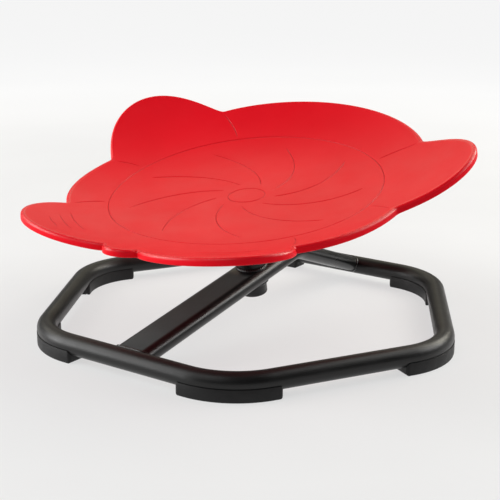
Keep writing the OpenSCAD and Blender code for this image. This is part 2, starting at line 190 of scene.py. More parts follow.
# ------------------------------------------------------------------ materials
class Mat:
    """A node material with a few shorthands."""

    def __init__(self, name):
        self.m = bpy.data.materials.new(name)
        self.m.use_nodes = True
        self.t = self.m.node_tree
        self.b = self.t.nodes["Principled BSDF"]
        self.co = self.t.nodes.new("ShaderNodeTexCoord").outputs["Object"]

    def link(self, a, b):
        self.t.links.new(a, b)
        return b

    def noise(self, scale, detail=3.0, rough=0.55, co=None, stretch=None):
        n = self.t.nodes.new("ShaderNodeTexNoise")
        n.inputs["Scale"].default_value = scale
        n.inputs["Detail"].default_value = detail
        n.inputs["Roughness"].default_value = rough
        src = co or self.co
        if stretch:
            mp = self.t.nodes.new("ShaderNodeMapping")
            mp.inputs["Scale"].default_value = stretch
            self.link(src, mp.inputs["Vector"])
            src = mp.outputs["Vector"]
        self.link(src, n.inputs["Vector"])
        return n.outputs["Fac"]

    def spread(self, src, lo, hi, a=0.3, b=0.7):
        n = self.t.nodes.new("ShaderNodeMapRange")
        n.inputs["From Min"].default_value = a
        n.inputs["From Max"].default_value = b
        n.inputs["To Min"].default_value = lo
        n.inputs["To Max"].default_value = hi
        self.link(src, n.inputs["Value"])
        return n.outputs["Result"]

    def mix(self, fac, a, b, mode="MIX"):
        n = self.t.nodes.new("ShaderNodeMix")
        n.data_type = "RGBA"
        n.blend_type = mode
        self.link(fac, n.inputs["Factor"])
        for src, at in ((a, n.inputs[6]), (b, n.inputs[7])):
            if isinstance(src, tuple):
                at.default_value = (*src, 1.0)
            else:
                self.link(src, at)
        return n.outputs[2]

    def math(self, op, a, b):
        n = self.t.nodes.new("ShaderNodeMath")
        n.operation = op
        for src, at in ((a, n.inputs[0]), (b, n.inputs[1])):
            if isinstance(src, (int, float)):
                at.default_value = src
            else:
                self.link(src, at)
        return n.outputs[0]

    def value(self, name):
        n = self.t.nodes.new("ShaderNodeAttribute")
        n.attribute_name = name
        return n.outputs["Fac"]

    def bump(self, *layers):
        last = None
        for src, strength, distance in layers:
            n = self.t.nodes.new("ShaderNodeBump")
            n.inputs["Strength"].default_value = strength
            n.inputs["Distance"].default_value = distance
            self.link(src, n.inputs["Height"])
            if last:
                self.link(last, n.inputs["Normal"])
            last = n.outputs["Normal"]
        self.link(last, self.b.inputs["Normal"])

    def set(self, **kw):
        for k, v in kw.items():
            at = self.b.inputs[k.replace("_", " ")]
            if isinstance(v, (int, float)):
                at.default_value = v
            elif isinstance(v, tuple):
                at.default_value = (*v, 1.0)
            else:
                self.link(v, at)
        return self.m


def red_plastic():
    m = Mat("seat_red_plastic")
    broad = m.noise(7.0, 2.0)
    body = m.mix(m.spread(broad, 0.0, 1.0), (0.745, 0.0030, 0.0115), (0.800, 0.0048, 0.0150))
    fleck = m.mix(m.spread(m.noise(420.0, 4.0), 0.0, 0.10, 0.5, 0.8), body, (0.85, 0.020, 0.026))
    # painted shade: the engraved grooves are painted a darker red toward their bottoms
    groove_shade = m.value("groove_shade")
    colour = m.mix(m.spread(groove_shade, 0.0, 0.55, 0.0, 1.0), fleck, (0.42, 0.0015, 0.006))
    # painted shade: the underside and the ribs below the dish are painted a darker, rougher red
    under_shade = m.value("under")
    colour = m.mix(m.spread(under_shade, 0.0, 0.7, 0.0, 1.0), colour, (0.22, 0.0012, 0.0042))
    rough = m.math("ADD", m.spread(m.noise(26.0, 4.0), 0.36, 0.44), m.spread(m.noise(900.0, 2.0), -0.02, 0.02))
    rough = m.math("SUBTRACT", rough, m.spread(m.value("edge"), 0.0, 0.15, 0.0, 1.0))
    rough = m.math("ADD", rough, m.spread(under_shade, 0.0, 0.18, 0.0, 1.0))
    m.bump((m.noise(5.5, 2.0), 0.12, 0.004), (m.noise(850.0, 3.0), 0.10, 0.00025), (m.noise(2600.0, 2.0), 0.08, 0.00010))
    gloss = m.spread(m.value("edge"), 0.05, 0.40, -1.0, 1.0)
    return m.set(Base_Color=colour, Roughness=rough, IOR=1.49, Specular_IOR_Level=gloss)


def powder_coat(name, bumpy=1.0, tone=1.0, rough=0.34, spec=0.36):
    m = Mat(name)
    broad = m.noise(9.0, 3.0)
    dark, light, grain = [tuple(tone * v for v in q) for q in ((0.0034, 0.0033, 0.0033), (0.0056, 0.0055, 0.0054), (0.013, 0.0125, 0.012))]
    base = m.mix(m.spread(broad, 0.0, 1.0), dark, light)
    colour = m.mix(m.spread(m.noise(1400.0, 2.0), 0.0, 0.35, 0.52, 0.75), base, grain)
    rough = m.math("ADD", m.spread(m.noise(30.0, 4.0), rough, rough + 0.09), m.spread(m.noise(1100.0, 2.0), -0.03, 0.03))
    m.bump((m.noise(620.0, 3.0), 0.16 * bumpy, 0.0004), (m.noise(2100.0, 2.0), 0.10, 0.00012))
    return m.set(Base_Color=colour, Roughness=rough, IOR=1.5, Specular_IOR_Level=spec, Sheen_Weight=0.05, Sheen_Roughness=0.4)


def bar_coat():
    """The bar's coat: dull and grained on the flat top, which is painted a lighter grey as a painted sheen; smooth and
    black elsewhere, and black round the hub as painted shade.
    """
    m = Mat("bar_coat_painted_light")
    side = m.value("side")
    # painted sheen: the flat top is painted a lighter grey than the black sides
    base = m.mix(m.spread(m.noise(9.0, 3.0), 0.0, 1.0), (0.060, 0.071, 0.071), (0.078, 0.092, 0.092))
    flat = m.mix(m.spread(m.noise(1400.0, 2.0), 0.0, 0.35, 0.52, 0.75), base, (0.122, 0.138, 0.138))
    colour = m.mix(m.spread(side, 0.0, 1.0, 0.0, 1.0), flat, (0.0045, 0.0046, 0.0047))
    rough = m.math("ADD", m.spread(side, 0.52, 0.27, 0.0, 1.0), m.spread(m.noise(30.0, 4.0), 0.0, 0.09))
    m.bump((m.noise(620.0, 3.0), 0.20, 0.0004), (m.noise(2100.0, 2.0), 0.10, 0.00012))
    return m.set(Base_Color=colour, Roughness=rough, IOR=1.5, Specular_IOR_Level=m.spread(side, 0.06, 0.45, 0.0, 1.0))


def rubber():
    m = Mat("foot_rubber_black")
    broad = m.noise(22.0, 4.0)
    base = m.mix(m.spread(broad, 0.0, 1.0), (0.0030, 0.0029, 0.0032), (0.0055, 0.0053, 0.0057))
    colour = m.mix(m.spread(m.noise(520.0, 4.0), 0.0, 0.4, 0.55, 0.8), base, (0.013, 0.0125, 0.013))
    m.bump((m.noise(480.0, 4.0), 0.22, 0.0004), (m.noise(2400.0, 2.0), 0.2, 0.00015))
    return m.set(Base_Color=colour, Roughness=m.spread(m.noise(120.0, 4.0), 0.44, 0.58), IOR=1.5, Specular_IOR_Level=0.34)


def black_plastic():
    m = Mat("cap_black_plastic")
    base = m.mix(m.spread(m.noise(40.0, 3.0), 0.0, 1.0), (0.010, 0.010, 0.0105), (0.017, 0.0168, 0.017))
    m.bump((m.noise(1500.0, 3.0), 0.2, 0.0002))
    return m.set(Base_Color=base, Roughness=m.spread(m.noise(90.0, 3.0), 0.42, 0.56))


def metal(name, dark, light, rough, grain, along=(1.0, 1.0, 1.0), tarnish=None):
    m = Mat(name)
    lines = m.noise(grain, 4.0, 0.6, stretch=along)
    base = m.mix(m.spread(lines, 0.0, 1.0), dark, light)
    if tarnish:
        base = m.mix(m.spread(m.noise(70.0, 4.0), 0.0, 0.5, 0.5, 0.8), base, tarnish)
    m.bump((lines, 0.12, 0.0001))
    return m.set(Base_Color=base, Metallic=1.0, Roughness=m.spread(m.noise(160.0, 3.0), rough - 0.06, rough + 0.08))


def nylon():
    m = Mat("cage_nylon_natural")
    base = m.mix(m.spread(m.noise(150.0, 3.0), 0.0, 1.0), (0.55, 0.48, 0.33), (0.66, 0.60, 0.45))
    m.bump((m.noise(1800.0, 2.0), 0.15, 0.0001))
    return m.set(Base_Color=base, Roughness=m.spread(m.noise(200.0, 2.0), 0.40, 0.52))


RED = red_plastic()
COAT = powder_coat("frame_black_coat", 1.5)
BAR_COAT = bar_coat()
WELD = powder_coat("weld_black_coat", 2.2, 1.0, 0.24, 0.5)
RUBBER = rubber()
CAP = black_plastic()
ZINC = metal("zinc_plate", (0.46, 0.46, 0.44), (0.66, 0.66, 0.63), 0.36, 300.0, tarnish=(0.50, 0.46, 0.36))
STEEL = metal("turned_steel", (0.36, 0.36, 0.37), (0.60, 0.60, 0.61), 0.30, 40.0, along=(1.0, 1.0, 40.0))
POLISHED = metal("bearing_polish", (0.58, 0.58, 0.60), (0.72, 0.72, 0.74), 0.16, 500.0)
BRASS = metal("insert_brass", (0.50, 0.36, 0.14), (0.70, 0.54, 0.25), 0.30, 600.0)
NYLON = nylon()

# ------------------------------------------------------------------ seat
def dish(x, y):
    r, a = np.hypot(x, y), np.arctan2(y, x)
    return SEAT_H + (r / RISE_REF) ** RISE_POWER * (
        RISE_MEAN + RISE_BACK * np.cos(a) + RISE_ENDS * np.cos(2 * a) - 1.3 * np.cos(3 * a)
        + RISE_WARP * (np.sin(a) + np.sin(2 * a)))


def lobe(u, ra, rb, bulge, full, lean):
    return ra + (rb - ra) * u + bulge * np.maximum(0, 4 * u * (1 - u)) ** full * (1 + lean * (2 * u - 1))


def seat_outline(count, ease):
    """Points round the seat's outer wall in plan, the corners eased, closest where it turns most."""
    u = np.arange(160) / 160
    back = np.c_[-ANG_BACK + 2 * ANG_BACK * u, lobe(u, R_BACK, R_BACK, 8.5, 0.82, 0)]
    left = np.concatenate([
        np.c_[ANG_BACK + (ANG_EAR - ANG_BACK) * u, lobe(u, R_BACK, R_EAR, EAR_BULGE, 1.3, 0)],
        np.c_[ANG_EAR + (ANG_SIDE - ANG_EAR) * u, lobe(u, R_EAR, R_SIDE, 5.5, 1, 0.5)],
        np.c_[ANG_SIDE + (ANG_FRONT - ANG_SIDE) * u, lobe(u, R_SIDE, R_FRONT, FRONT_BULGE, 0.6, -0.6)]])
    tongue = np.c_[ANG_FRONT + (360 - 2 * ANG_FRONT) * u, lobe(u, R_FRONT, R_FRONT, TONGUE_BULGE, 0.68, 0)]
    right = np.concatenate([[[360 - ANG_FRONT, R_FRONT]], np.c_[360 - left[::-1, 0], left[::-1, 1]]])[:-1]
    pol = np.concatenate([back, left, tongue, right])
    a = np.radians(pol[:, 0])
    p = np.c_[pol[:, 1] * np.cos(a), pol[:, 1] * np.sin(a)]

    def spaced(q, n, weight=None):
        w = np.vstack([q, q[:1]])
        step = np.linalg.norm(np.diff(w, axis=0), axis=1)
        d = np.r_[0, np.cumsum(step if weight is None else step * weight)]
        s = np.linspace(0, d[-1], n, endpoint=False)
        return np.c_[np.interp(s, d, w[:, 0]), np.interp(s, d, w[:, 1])], d[-1]

    many = 9000
    p, length = spaced(p, many)
    f = np.fft.fftfreq(many, length / many)
    keep = np.exp(-0.5 * (2 * math.pi * f * ease) ** 2)
    p = np.stack([np.fft.ifft(np.fft.fft(p[:, k]) * keep).real for k in (0, 1)], 1)
    t = np.roll(p, -6, 0) - np.roll(p, 6, 0)
    turn = np.unwrap(np.arctan2(t[:, 1], t[:, 0]))
    bend = np.abs((np.roll(turn, -6) - np.roll(turn, 6) + math.pi) % (2 * math.pi) - math.pi) / (12 * length / many)
    return spaced(p, count, 1.0 + 7.0 * bend)[0]


def groove_lines():
    """Centre-lines of the engraved lines: [points, closed, half width, depth]."""
    out = []

    def ring(r, n):
        a = np.linspace(0, 2 * math.pi, n, endpoint=False)
        return np.c_[r * np.cos(a), r * np.sin(a)]

    out.append([ring(178.0, 760), True, 1.1, 0.9])
    out.append([ring(24.0, 120), True, 1.1, 0.9])
    for k in range(9):
        u = np.linspace(0, 1, 110)
        r = 38 + 114 * u
        a = math.radians(40 * k + 6) + math.radians(48) * u ** 0.8
        out.append([np.c_[r * np.cos(a), r * np.sin(a)], False, 1.1, 0.9])
    for a0, r0 in ((ANG_BACK, R_BACK), (ANG_EAR, R_EAR), (ANG_SIDE, R_SIDE)):
        for side in (-1, 1):
            u = np.linspace(0, 1, 40)
            r = r0 - 10 - (r0 - 10 - 183) * u
            a = np.radians(side * (a0 - 3.5 * np.sin(math.pi * u / 2)))
            out.append([np.c_[r * np.cos(a), r * np.sin(a)], False, 1.1, 0.9])
    for side in (-1, 1):
        for k, r in enumerate((226.0, 240.0, 254.0)):
            half = (9.5, 7.5, 5.0)[k]
            a = np.radians(side * 149.0 + np.linspace(-half, half, 54))
            out.append([np.c_[r * np.cos(a), r * np.sin(a)], False, 1.05, 0.8])
    return out


def build_seat():
    n = 1100
    p = seat_outline(n, 2.2)
    tang = np.roll(p, -1, 0) - np.roll(p, 1, 0)
    tang /= np.linalg.norm(tang, axis=1)[:, None]
    nor = np.c_[tang[:, 1], -tang[:, 0]]
    rho, draft = 3.6, math.radians(8)
    rb = 1.1
    shift = (LIP_H - rb - rho) * math.tan(draft) - 0.1

    def along(d):
        return p + nor * np.asarray(d).reshape(-1, 1)

    q0 = along(np.full(n, -rho))
    e = 0.5
    slope = (dish(*(q0 + nor * e).T) - dish(*(q0 - nor * e).T)) / (2 * e)
    alpha = np.arctan(slope)
    inset = rho * (1 + np.sin(alpha)) + shift
    q = along(-inset)
    zq = dish(*q.T)

    # ---- top face: outline, engraved lines and an even field of points, joined by triangles
    pts, drop, edges = [tuple(v) for v in q], [0.0] * n, [(i, (i + 1) % n) for i in range(n)]
    mids = []
    for line, closed, hw, depth in groove_lines():
        k = len(line)
        if closed:
            t = np.roll(line, -1, 0) - np.roll(line, 1, 0)
            fade = np.ones(k)
        else:
            t = np.gradient(line, axis=0)
            s = np.r_[0, np.cumsum(np.linalg.norm(np.diff(line, axis=0), axis=1))]
            near = np.minimum(s, s[-1] - s)
            fade = np.clip(near / 9.0, 0, 1) ** 0.6
        t /= np.linalg.norm(t, axis=1)[:, None]
        m = np.c_[-t[:, 1], t[:, 0]]
        mids.append(line)
        for d in (-1.5, -1.0, -0.62, -0.28, 0.0, 0.28, 0.62, 1.0, 1.5):
            w = hw * (0.45 + 0.55 * fade)
            off = line + m * (d * w)[:, None]
            at = len(pts)
            pts += [tuple(v) for v in off]
            drop += list(depth * fade * np.cos(0.5 * math.pi * min(1.0, abs(d))) ** 2)
            edges += [(at + i, at + i + 1) for i in range(k - 1)]
            if closed:
                edges.append((at + k - 1, at))
    mids = np.concatenate(mids)
    qa = np.arctan2(q[:, 1], q[:, 0])
    order = np.argsort(qa)
    qr = np.hypot(q[:, 0], q[:, 1])

    def inside(x, y, gap):
        a = np.arctan2(y, x)
        lim = np.interp(a, qa[order], qr[order], period=2 * math.pi)
        return np.hypot(x, y) < lim - gap

    field = [along(-inset - 2.2)[::2], along(-inset - 6.0)[::3]]
    step = 6.2
    gx, gy = np.meshgrid(np.arange(-300, 301, step), np.arange(-300, 301, step * 0.866))
    gx = gx + (np.arange(gx.shape[0]) % 2)[:, None] * step / 2
    grid = np.c_[gx.ravel(), gy.ravel()]
    field.append(grid[inside(grid[:, 0], grid[:, 1], 11.0)])
    field = np.concatenate(field)
    near = np.array([np.min((mids[:, 0] - x) ** 2 + (mids[:, 1] - y) ** 2) for x, y in field])
    field = field[near > 3.6 ** 2]
    pts += [tuple(v) for v in field]
    drop += [0.0] * len(field)
    vout, _, fout, orig, _, _ = delaunay_2d_cdt([Vector(v) for v in pts], edges, [], 0, 1e-5, True)
    drop = np.array(drop)
    top = np.array([[v.x, v.y] for v in vout])

    def within(x, y):
        a, b = q, np.roll(q, -1, 0)
        cross = (a[:, 1] > y) != (b[:, 1] > y)
        at_x = a[:, 0] + (y - a[:, 1]) / np.where(cross, b[:, 1] - a[:, 1], 1.0) * (b[:, 0] - a[:, 0])
        return bool(np.sum(cross & (x < at_x)) % 2)

    on_edge = np.array([any(i < n for i in o) for o in orig])
    fout = [f for f in fout if not all(on_edge[i] for i in f) or within(*top[list(f)].mean(0))]
    down = np.array([max((drop[i] for i in o), default=0.0) for o in orig])
    index = {}
    for k, o in enumerate(orig):
        for i in o:
            index[i] = k
    verts = [np.c_[top, dish(*top.T) - down]]
    # painted shade in the grooves follows how deep each point sits in one
    groove_shade = [np.clip(down / 0.95, 0, 1)]
    edge = [np.array([1.0 if e else 0.0 for e in on_edge])]
    under, under_shade = [np.zeros(len(top))], 0.0
    faces = [tuple(f) for f in fout]
    last = np.array([index[i] for i in range(n)])
    at = len(top)

    def band(xy, z, mark=0.0):
        nonlocal last, at
        verts.append(np.c_[xy, z])
        groove_shade.append(np.zeros(n))
        edge.append(np.full(n, mark))
        under.append(np.full(n, under_shade))
        here = np.arange(at, at + n)
        for i in range(n):
            j = (i + 1) % n
            faces.append((last[i], last[j], here[j], here[i]))
        last, at = here, at + n

    # ---- rolled edge, wall and foot of the lip
    for k in range(1, 9):
        b = alpha - (alpha + math.pi / 2 - draft) * k / 8
        band(along(-rho - rho * np.sin(b) - shift), zq - rho * np.cos(alpha) + rho * np.cos(b), min(1.0, (6.5 - k) / 1.5))
    wall_top, wall_low = zq - rho * np.cos(alpha) + rho * math.sin(draft), zq - LIP_H + rb
    for u in (0.33, 0.67, 1.0):
        band(along((1 - u) * (rho * math.cos(draft) - rho - shift) + u * 0.1 + np.zeros(n)), wall_top + (wall_low - wall_top) * u, -1.0)
    for g in (30, 60, 90):
        g = math.radians(g)
        band(along(np.full(n, 0.1 - rb + rb * math.cos(g))), wall_low - rb * math.sin(g))
    band(along(np.full(n, -LIP_T + 0.7)), zq - LIP_H)
    band(along(np.full(n, -LIP_T + 0.2)), zq - LIP_H + 0.2)
    band(along(np.full(n, -LIP_T)), zq - LIP_H + 0.7)
    rf = 1.5
    u0 = along(np.full(n, -LIP_T - rf))
    zu = dish(*u0.T) - SEAT_T
    for g in (0, 30, 60, 90):
        g = math.radians(g)
        band(along(np.full(n, -LIP_T - rf + rf * math.cos(g))), zu - rf + rf * math.sin(g))
    # ---- underside, in to the mounting ring and the middle
    # from here on the underside is painted a darker red as painted shade
    under_shade = 1.0
    ur, ua = np.hypot(u0[:, 0], u0[:, 1]), np.arctan2(u0[:, 1], u0[:, 0])

    def circle(r):
        return np.c_[r * np.cos(ua), r * np.sin(ua)]

    axis = np.array([-SEAT_BACK, 0.0])
    for f in (0.95, 0.88, 0.79, 0.69, 0.58, 0.46, 0.34, 0.22, 0.11, 0.03):
        r = BOSS_OUT + (ur - BOSS_OUT) * f
        xy = circle(r) + (1 - f) * axis
        band(xy, dish(*xy.T) - SEAT_T)
    for r, h in ((BOSS_OUT + 0.6, SEAT_H - SEAT_T - 0.6), (BOSS_OUT, SEAT_H - SEAT_T - 2.0), (BOSS_OUT, BOSS_LO + 0.8),
                 (BOSS_OUT - 0.8, BOSS_LO), (BOSS_IN + 0.8, BOSS_LO), (BOSS_IN, BOSS_LO + 0.8),
                 (BOSS_IN, SEAT_H - SEAT_T - 1.5), (BOSS_IN - 0.6, SEAT_H - SEAT_T - 0.4), (BOSS_IN - 2, SEAT_H - SEAT_T),
                 (20, SEAT_H - SEAT_T), (6, SEAT_H - SEAT_T)):
        band(circle(np.full(n, float(r))) + axis, np.full(n, float(h)))
    verts.append(np.array([[-SEAT_BACK, 0, SEAT_H - SEAT_T]]))
    groove_shade.append(np.zeros(1))
    edge.append(np.zeros(1))
    under.append(np.ones(1))
    faces += [(last[i], last[(i + 1) % n], at) for i in range(n)]
    shell = (np.concatenate(verts), faces)
    groove_shade, edge = np.concatenate(groove_shade), np.concatenate(edge)

    # ---- stiffening ribs under the dish
    ribs = []
    for k in range(12):
        a = math.radians(15 + 30 * k)
        c, s = math.cos(a), math.sin(a)
        loops = []
        for r in np.linspace(BOSS_OUT - 0.6, 196, 22):
            u = (r - BOSS_OUT) / (196 - BOSS_OUT)
            z = float(dish(np.array([r * c - SEAT_BACK]), np.array([r * s]))[0]) - SEAT_T
            deep = 11.5 * (1 - u) ** 1.2 + 1.2
            w0, w1 = 1.5, 1.0
            prof = [(-w0 - 0.6, z + 0.5), (-w0, z - 0.7), (-w1, z - deep + 0.5), (-w1 + 0.4, z - deep),
                    (w1 - 0.4, z - deep), (w1, z - deep + 0.5), (w0, z - 0.7), (w0 + 0.6, z + 0.5)]
            loops.append(np.array([[r * c - t * s - SEAT_BACK, r * s + t * c, h] for t, h in prof]))
        ribs.append(skin(loops, False))
    a = np.linspace(0, 2 * math.pi, 240, endpoint=False)
    loops = []
    for t in a:
        c, s = math.cos(t), math.sin(t)
        z = float(dish(np.array([132 * c - SEAT_BACK]), np.array([132 * s]))[0]) - SEAT_T
        prof = [(-1.9, 0.5), (-1.3, -0.7), (-0.9, -4.5), (-0.5, -5.0), (0.5, -5.0), (0.9, -4.5), (1.3, -0.7), (1.9, 0.5)]
        loops.append(np.array([[(132 + d) * c - SEAT_BACK, (132 + d) * s, z + h] for d, h in prof]))
    ribs.append(skin(loops, True))
    verts, faces = join(shell, *ribs)
    rest = np.zeros(len(verts) - len(groove_shade))
    values = {"groove_shade": np.r_[groove_shade, rest], "edge": np.r_[edge, rest], "under": np.r_[np.concatenate(under), rest + 1]}
    return add_piece("seat_shell_moulded", on_seat(verts + np.array([SEAT_BACK, 0, 0])), faces, RED, "seat", ["seat_shell"], "seat_red", 50, values)


SEAT = build_seat()


# ------------------------------------------------------------------ floor ring
def out(a):
    return np.array([math.cos(math.radians(a)), math.sin(math.radians(a)), 0.0])


def build_ring():
    sec = np.radians(np.arange(0, 360, 7.5))
    loops = []
    for k in range(6):
        c = 30 + 60 * k
        mid = CORNER_C * out(c) + np.array([0, 0, RING_Z])
        for i in range(25):
            a = c - 30 + 60 * i / 24
            loops.append(mid + BEND_R * out(a) + TUBE_R * (np.cos(sec)[:, None] * out(a) + np.sin(sec)[:, None] * np.array([0, 0, 1.0])))
        a = c + 30
        start, run = mid + BEND_R * out(a), 2 * (RING_A - BEND_R) * math.tan(math.radians(30))
        for i in range(1, 10):
            loops.append(start + run * i / 10 * out(a + 90) + TUBE_R * (np.cos(sec)[:, None] * out(a) + np.sin(sec)[:, None] * np.array([0, 0, 1.0])))
    add_piece("floor_ring_tube", *skin(loops, True), COAT, "base", ["base_ring"], "frame_black")


build_ring()

# ------------------------------------------------------------------ cross bar
APEX_Z = RING_Z + (RING_A + BEND_X) * math.tan(math.radians(BAR_TILT))
FALL = math.degrees(math.atan((APEX_Z - RING_Z) / (RING_A - BEND_X)))
BEND_TURN = BAR_TILT + FALL
BEND_LEN = BAR_BEND_R * math.tan(math.radians(BEND_TURN / 2))


def oval(grow=0.0, steps=14):
    w, t = BAR_W + 2 * grow, BAR_T + 2 * grow
    a = np.radians(np.linspace(90, -90, steps + 1))
    one = np.c_[(w - t) / 2 + t / 2 * np.cos(a), t / 2 * np.sin(a)]
    flat = np.linspace((w - t) / 2, -(w - t) / 2, 9)[1:-1]
    return np.concatenate([one, np.c_[flat, np.full(7, -t / 2)], -one, np.c_[-flat, np.full(7, t / 2)]])


def bar_loop(x, z, lean, sec):
    lean = math.radians(lean)
    up = np.array([-math.sin(lean), 0, math.cos(lean)])
    return np.array([x, 0, z]) + sec[:, :1] * np.array([0, -1.0, 0]) + sec[:, 1:] * up


def coped(sign, lean, sec, reach):
    """The end of the bar, cut to the ring's tube: each line stops at that distance from the ring's centre-line."""
    lean = math.radians(lean)
    along = np.array([math.cos(lean), 0, math.sin(lean)]) * -sign
    base = bar_loop(sign * RING_A, RING_Z, math.degrees(lean), sec)
    return base + np.sqrt(np.maximum(reach ** 2 - sec[:, 1] ** 2, 0.2))[:, None] * along


def build_bar():
    sec = oval()
    loops = [coped(-1, BAR_TILT, sec, TUBE_R - 0.5)]
    first = np.array([-RING_A + 22, RING_Z + 22 * math.tan(math.radians(BAR_TILT))])
    x1 = BEND_X - BEND_LEN * math.cos(math.radians(BAR_TILT))
    z1 = APEX_Z - BEND_LEN * math.sin(math.radians(BAR_TILT))
    for u in np.linspace(0, 1, 71)[:-1]:
        loops.append(bar_loop(first[0] + (x1 - first[0]) * u, first[1] + (z1 - first[1]) * u, BAR_TILT, sec))
    for i in range(19):
        lean = BAR_TILT - BEND_TURN * i / 18
        l0, l1 = math.radians(BAR_TILT), math.radians(lean)
        loops.append(bar_loop(x1 + BAR_BEND_R * (math.sin(l0) - math.sin(l1)), z1 - BAR_BEND_R * (math.cos(l0) - math.cos(l1)), lean, sec))
    x2 = BEND_X + BEND_LEN * math.cos(math.radians(FALL))
    z2 = APEX_Z - BEND_LEN * math.sin(math.radians(FALL))
    end = np.array([RING_A - 22, RING_Z + 22 * math.tan(math.radians(FALL))])
    for u in np.linspace(0, 1, 9)[1:]:
        loops.append(bar_loop(x2 + (end[0] - x2) * u, z2 + (end[1] - z2) * u, -FALL, sec))
    loops.append(coped(1, -FALL, sec, TUBE_R - 0.5))
    # smooth black on the rounded sides and below; round the hub's weld the top is painted black too, as painted shade
    # of the hub
    verts, faces = skin(loops, False)
    side = np.tile(ease(0.0, 0.03, 1 - sec[:, 1] / (BAR_T / 2)), len(loops))
    weld = 1 - ease(HUB_R + 11, HUB_R + 19, np.hypot(verts[:, 0] - HUB_X, verts[:, 1]))
    ob = add_piece("cross_bar_tube", verts, faces, BAR_COAT, "base", ["cross_bar"], "frame_black", 40, {"side": np.maximum(side, weld)})
    # hole for the hub, its edge inside the hub's wall
    v, f = revolve([(0.01, -20.0), (HUB_R - 0.6, -20.0), (HUB_R - 0.6, 20.0), (0.01, 20.0)], 96)
    done = cut(ob, on_axis(v), f, 40)
    co = np.zeros(len(done.vertices) * 3, np.float32)
    done.vertices.foreach_get("co", co)
    co = co.reshape(-1, 3) / MM
    side = np.zeros(len(done.vertices), np.float32)
    done.attributes["side"].data.foreach_get("value", side)
    # painted shade: the top close round the hub is painted black
    side[np.hypot(co[:, 0] - HUB_X, co[:, 1]) < HUB_R + 6] = 1.0
    done.attributes["side"].data.foreach_set("value", side)


build_bar()


def dense(loop, step):
    w = np.vstack([loop, loop[:1]])
    d = np.r_[0, np.cumsum(np.linalg.norm(np.diff(w, axis=0), axis=1))]
    s = np.linspace(0, d[-1], int(d[-1] / step), endpoint=False)
    return np.stack([np.interp(s, d, w[:, k]) for k in range(3)], 1)


def build_welds():
    ends = []
    for k, (sign, lean) in enumerate(((-1, BAR_TILT), (1, -FALL))):
        path = dense(coped(sign, lean, oval(0.2, 24), TUBE_R + 0.3), 0.55)
        centre = np.array([sign * RING_A, 0, RING_Z])
        # stands away from both the bar and the ring
        le = math.radians(lean)
        along = np.array([math.cos(le), 0, math.sin(le)]) * -sign
        off = path - (centre + ((path - centre) @ along)[:, None] * along)
        off /= np.linalg.norm(off, axis=1)[:, None]
        ends.append(bead(path, off + 0.7 * along, 1.9, ripple=2.2, seed=3 + k, wavy=0.08))
    add_piece("bar_end_weld_beads", *join(*ends), WELD, "base", ["bar_end_welds"], "frame_black")
    rings = []
    a = np.linspace(0, 2 * math.pi, 230, endpoint=False)
    for s in (-1, 1):
        y = HUB_R * np.sin(a)
        over = np.maximum(np.abs(y) - (BAR_W - BAR_T) / 2, 0)
        h = s * np.sqrt((BAR_T / 2) ** 2 - over ** 2)
        path = np.c_[(HUB_R + 0.5) * np.cos(a), (HUB_R + 0.5) * np.sin(a), h + s * 0.5]
        lift = np.c_[np.cos(a), np.sin(a), np.full(len(a), s * 1.0)]
        v, f = bead(path, lift, 3.0, ripple=3.1, seed=7 + s)
        rings.append((on_axis(v), f))
    add_piece("hub_weld_beads", *join(*rings), WELD, "base", ["hub_welds"], "frame_black")
    path = np.c_[11.0 * np.cos(a), 11.0 * np.sin(a), np.full(len(a), PLATE_LO - 0.4)]
    v, f = bead(path, np.c_[np.cos(a), np.sin(a), -np.ones(len(a))], 2.7, ripple=2.9, seed=12)
    add_piece("plate_weld_bead", on_axis(v), f, WELD, "seat", ["plate_weld"], "frame_black")


build_welds()


# ------------------------------------------------------------------ hub, plate and fastenings
def build_hub():
    r, t, b, i = HUB_R, HUB_TOP, -HUB_BOTTOM, RACE_R
    prof = [(i, t - 10.98), (i, t - 0.8), (i + 0.5, t - 0.15), (i + 0.8, t), (r - 0.7, t), (r - 0.2, t - 0.2), (r, t - 0.7),
            (r, 20.0), (r, 0.0), (r, b + 0.7), (r - 0.2, b + 0.2), (r - 0.7, b), (i + 0.6, b), (i, b + 0.6), (i, -0.02),
            (14.5, -0.02), (14.5, t - 10.98)]
    v, f = revolve(prof, 96)
    add_piece("hub_tube_turned", on_axis(v), f, COAT, "base", ["hub_tube"], "frame_black", 35)


def build_plate():
    lo, hi, r = PLATE_LO, BOSS_LO, PLATE_R
    prof = [(7.6, lo + 0.5), (7.6, hi - 0.02), (r - 0.6, hi - 0.02), (r - 0.15, hi - 0.2), (r, hi - 0.6), (r, lo + 0.9),
            (r - 0.25, lo + 0.25), (r - 0.9, lo), (30.0, lo), (8.1, lo)]
    v, f = revolve(prof, 128)
    add_piece("seat_plate_pressed", on_seat(v), f, COAT, "seat", ["seat_plate"], "frame_black", 35)


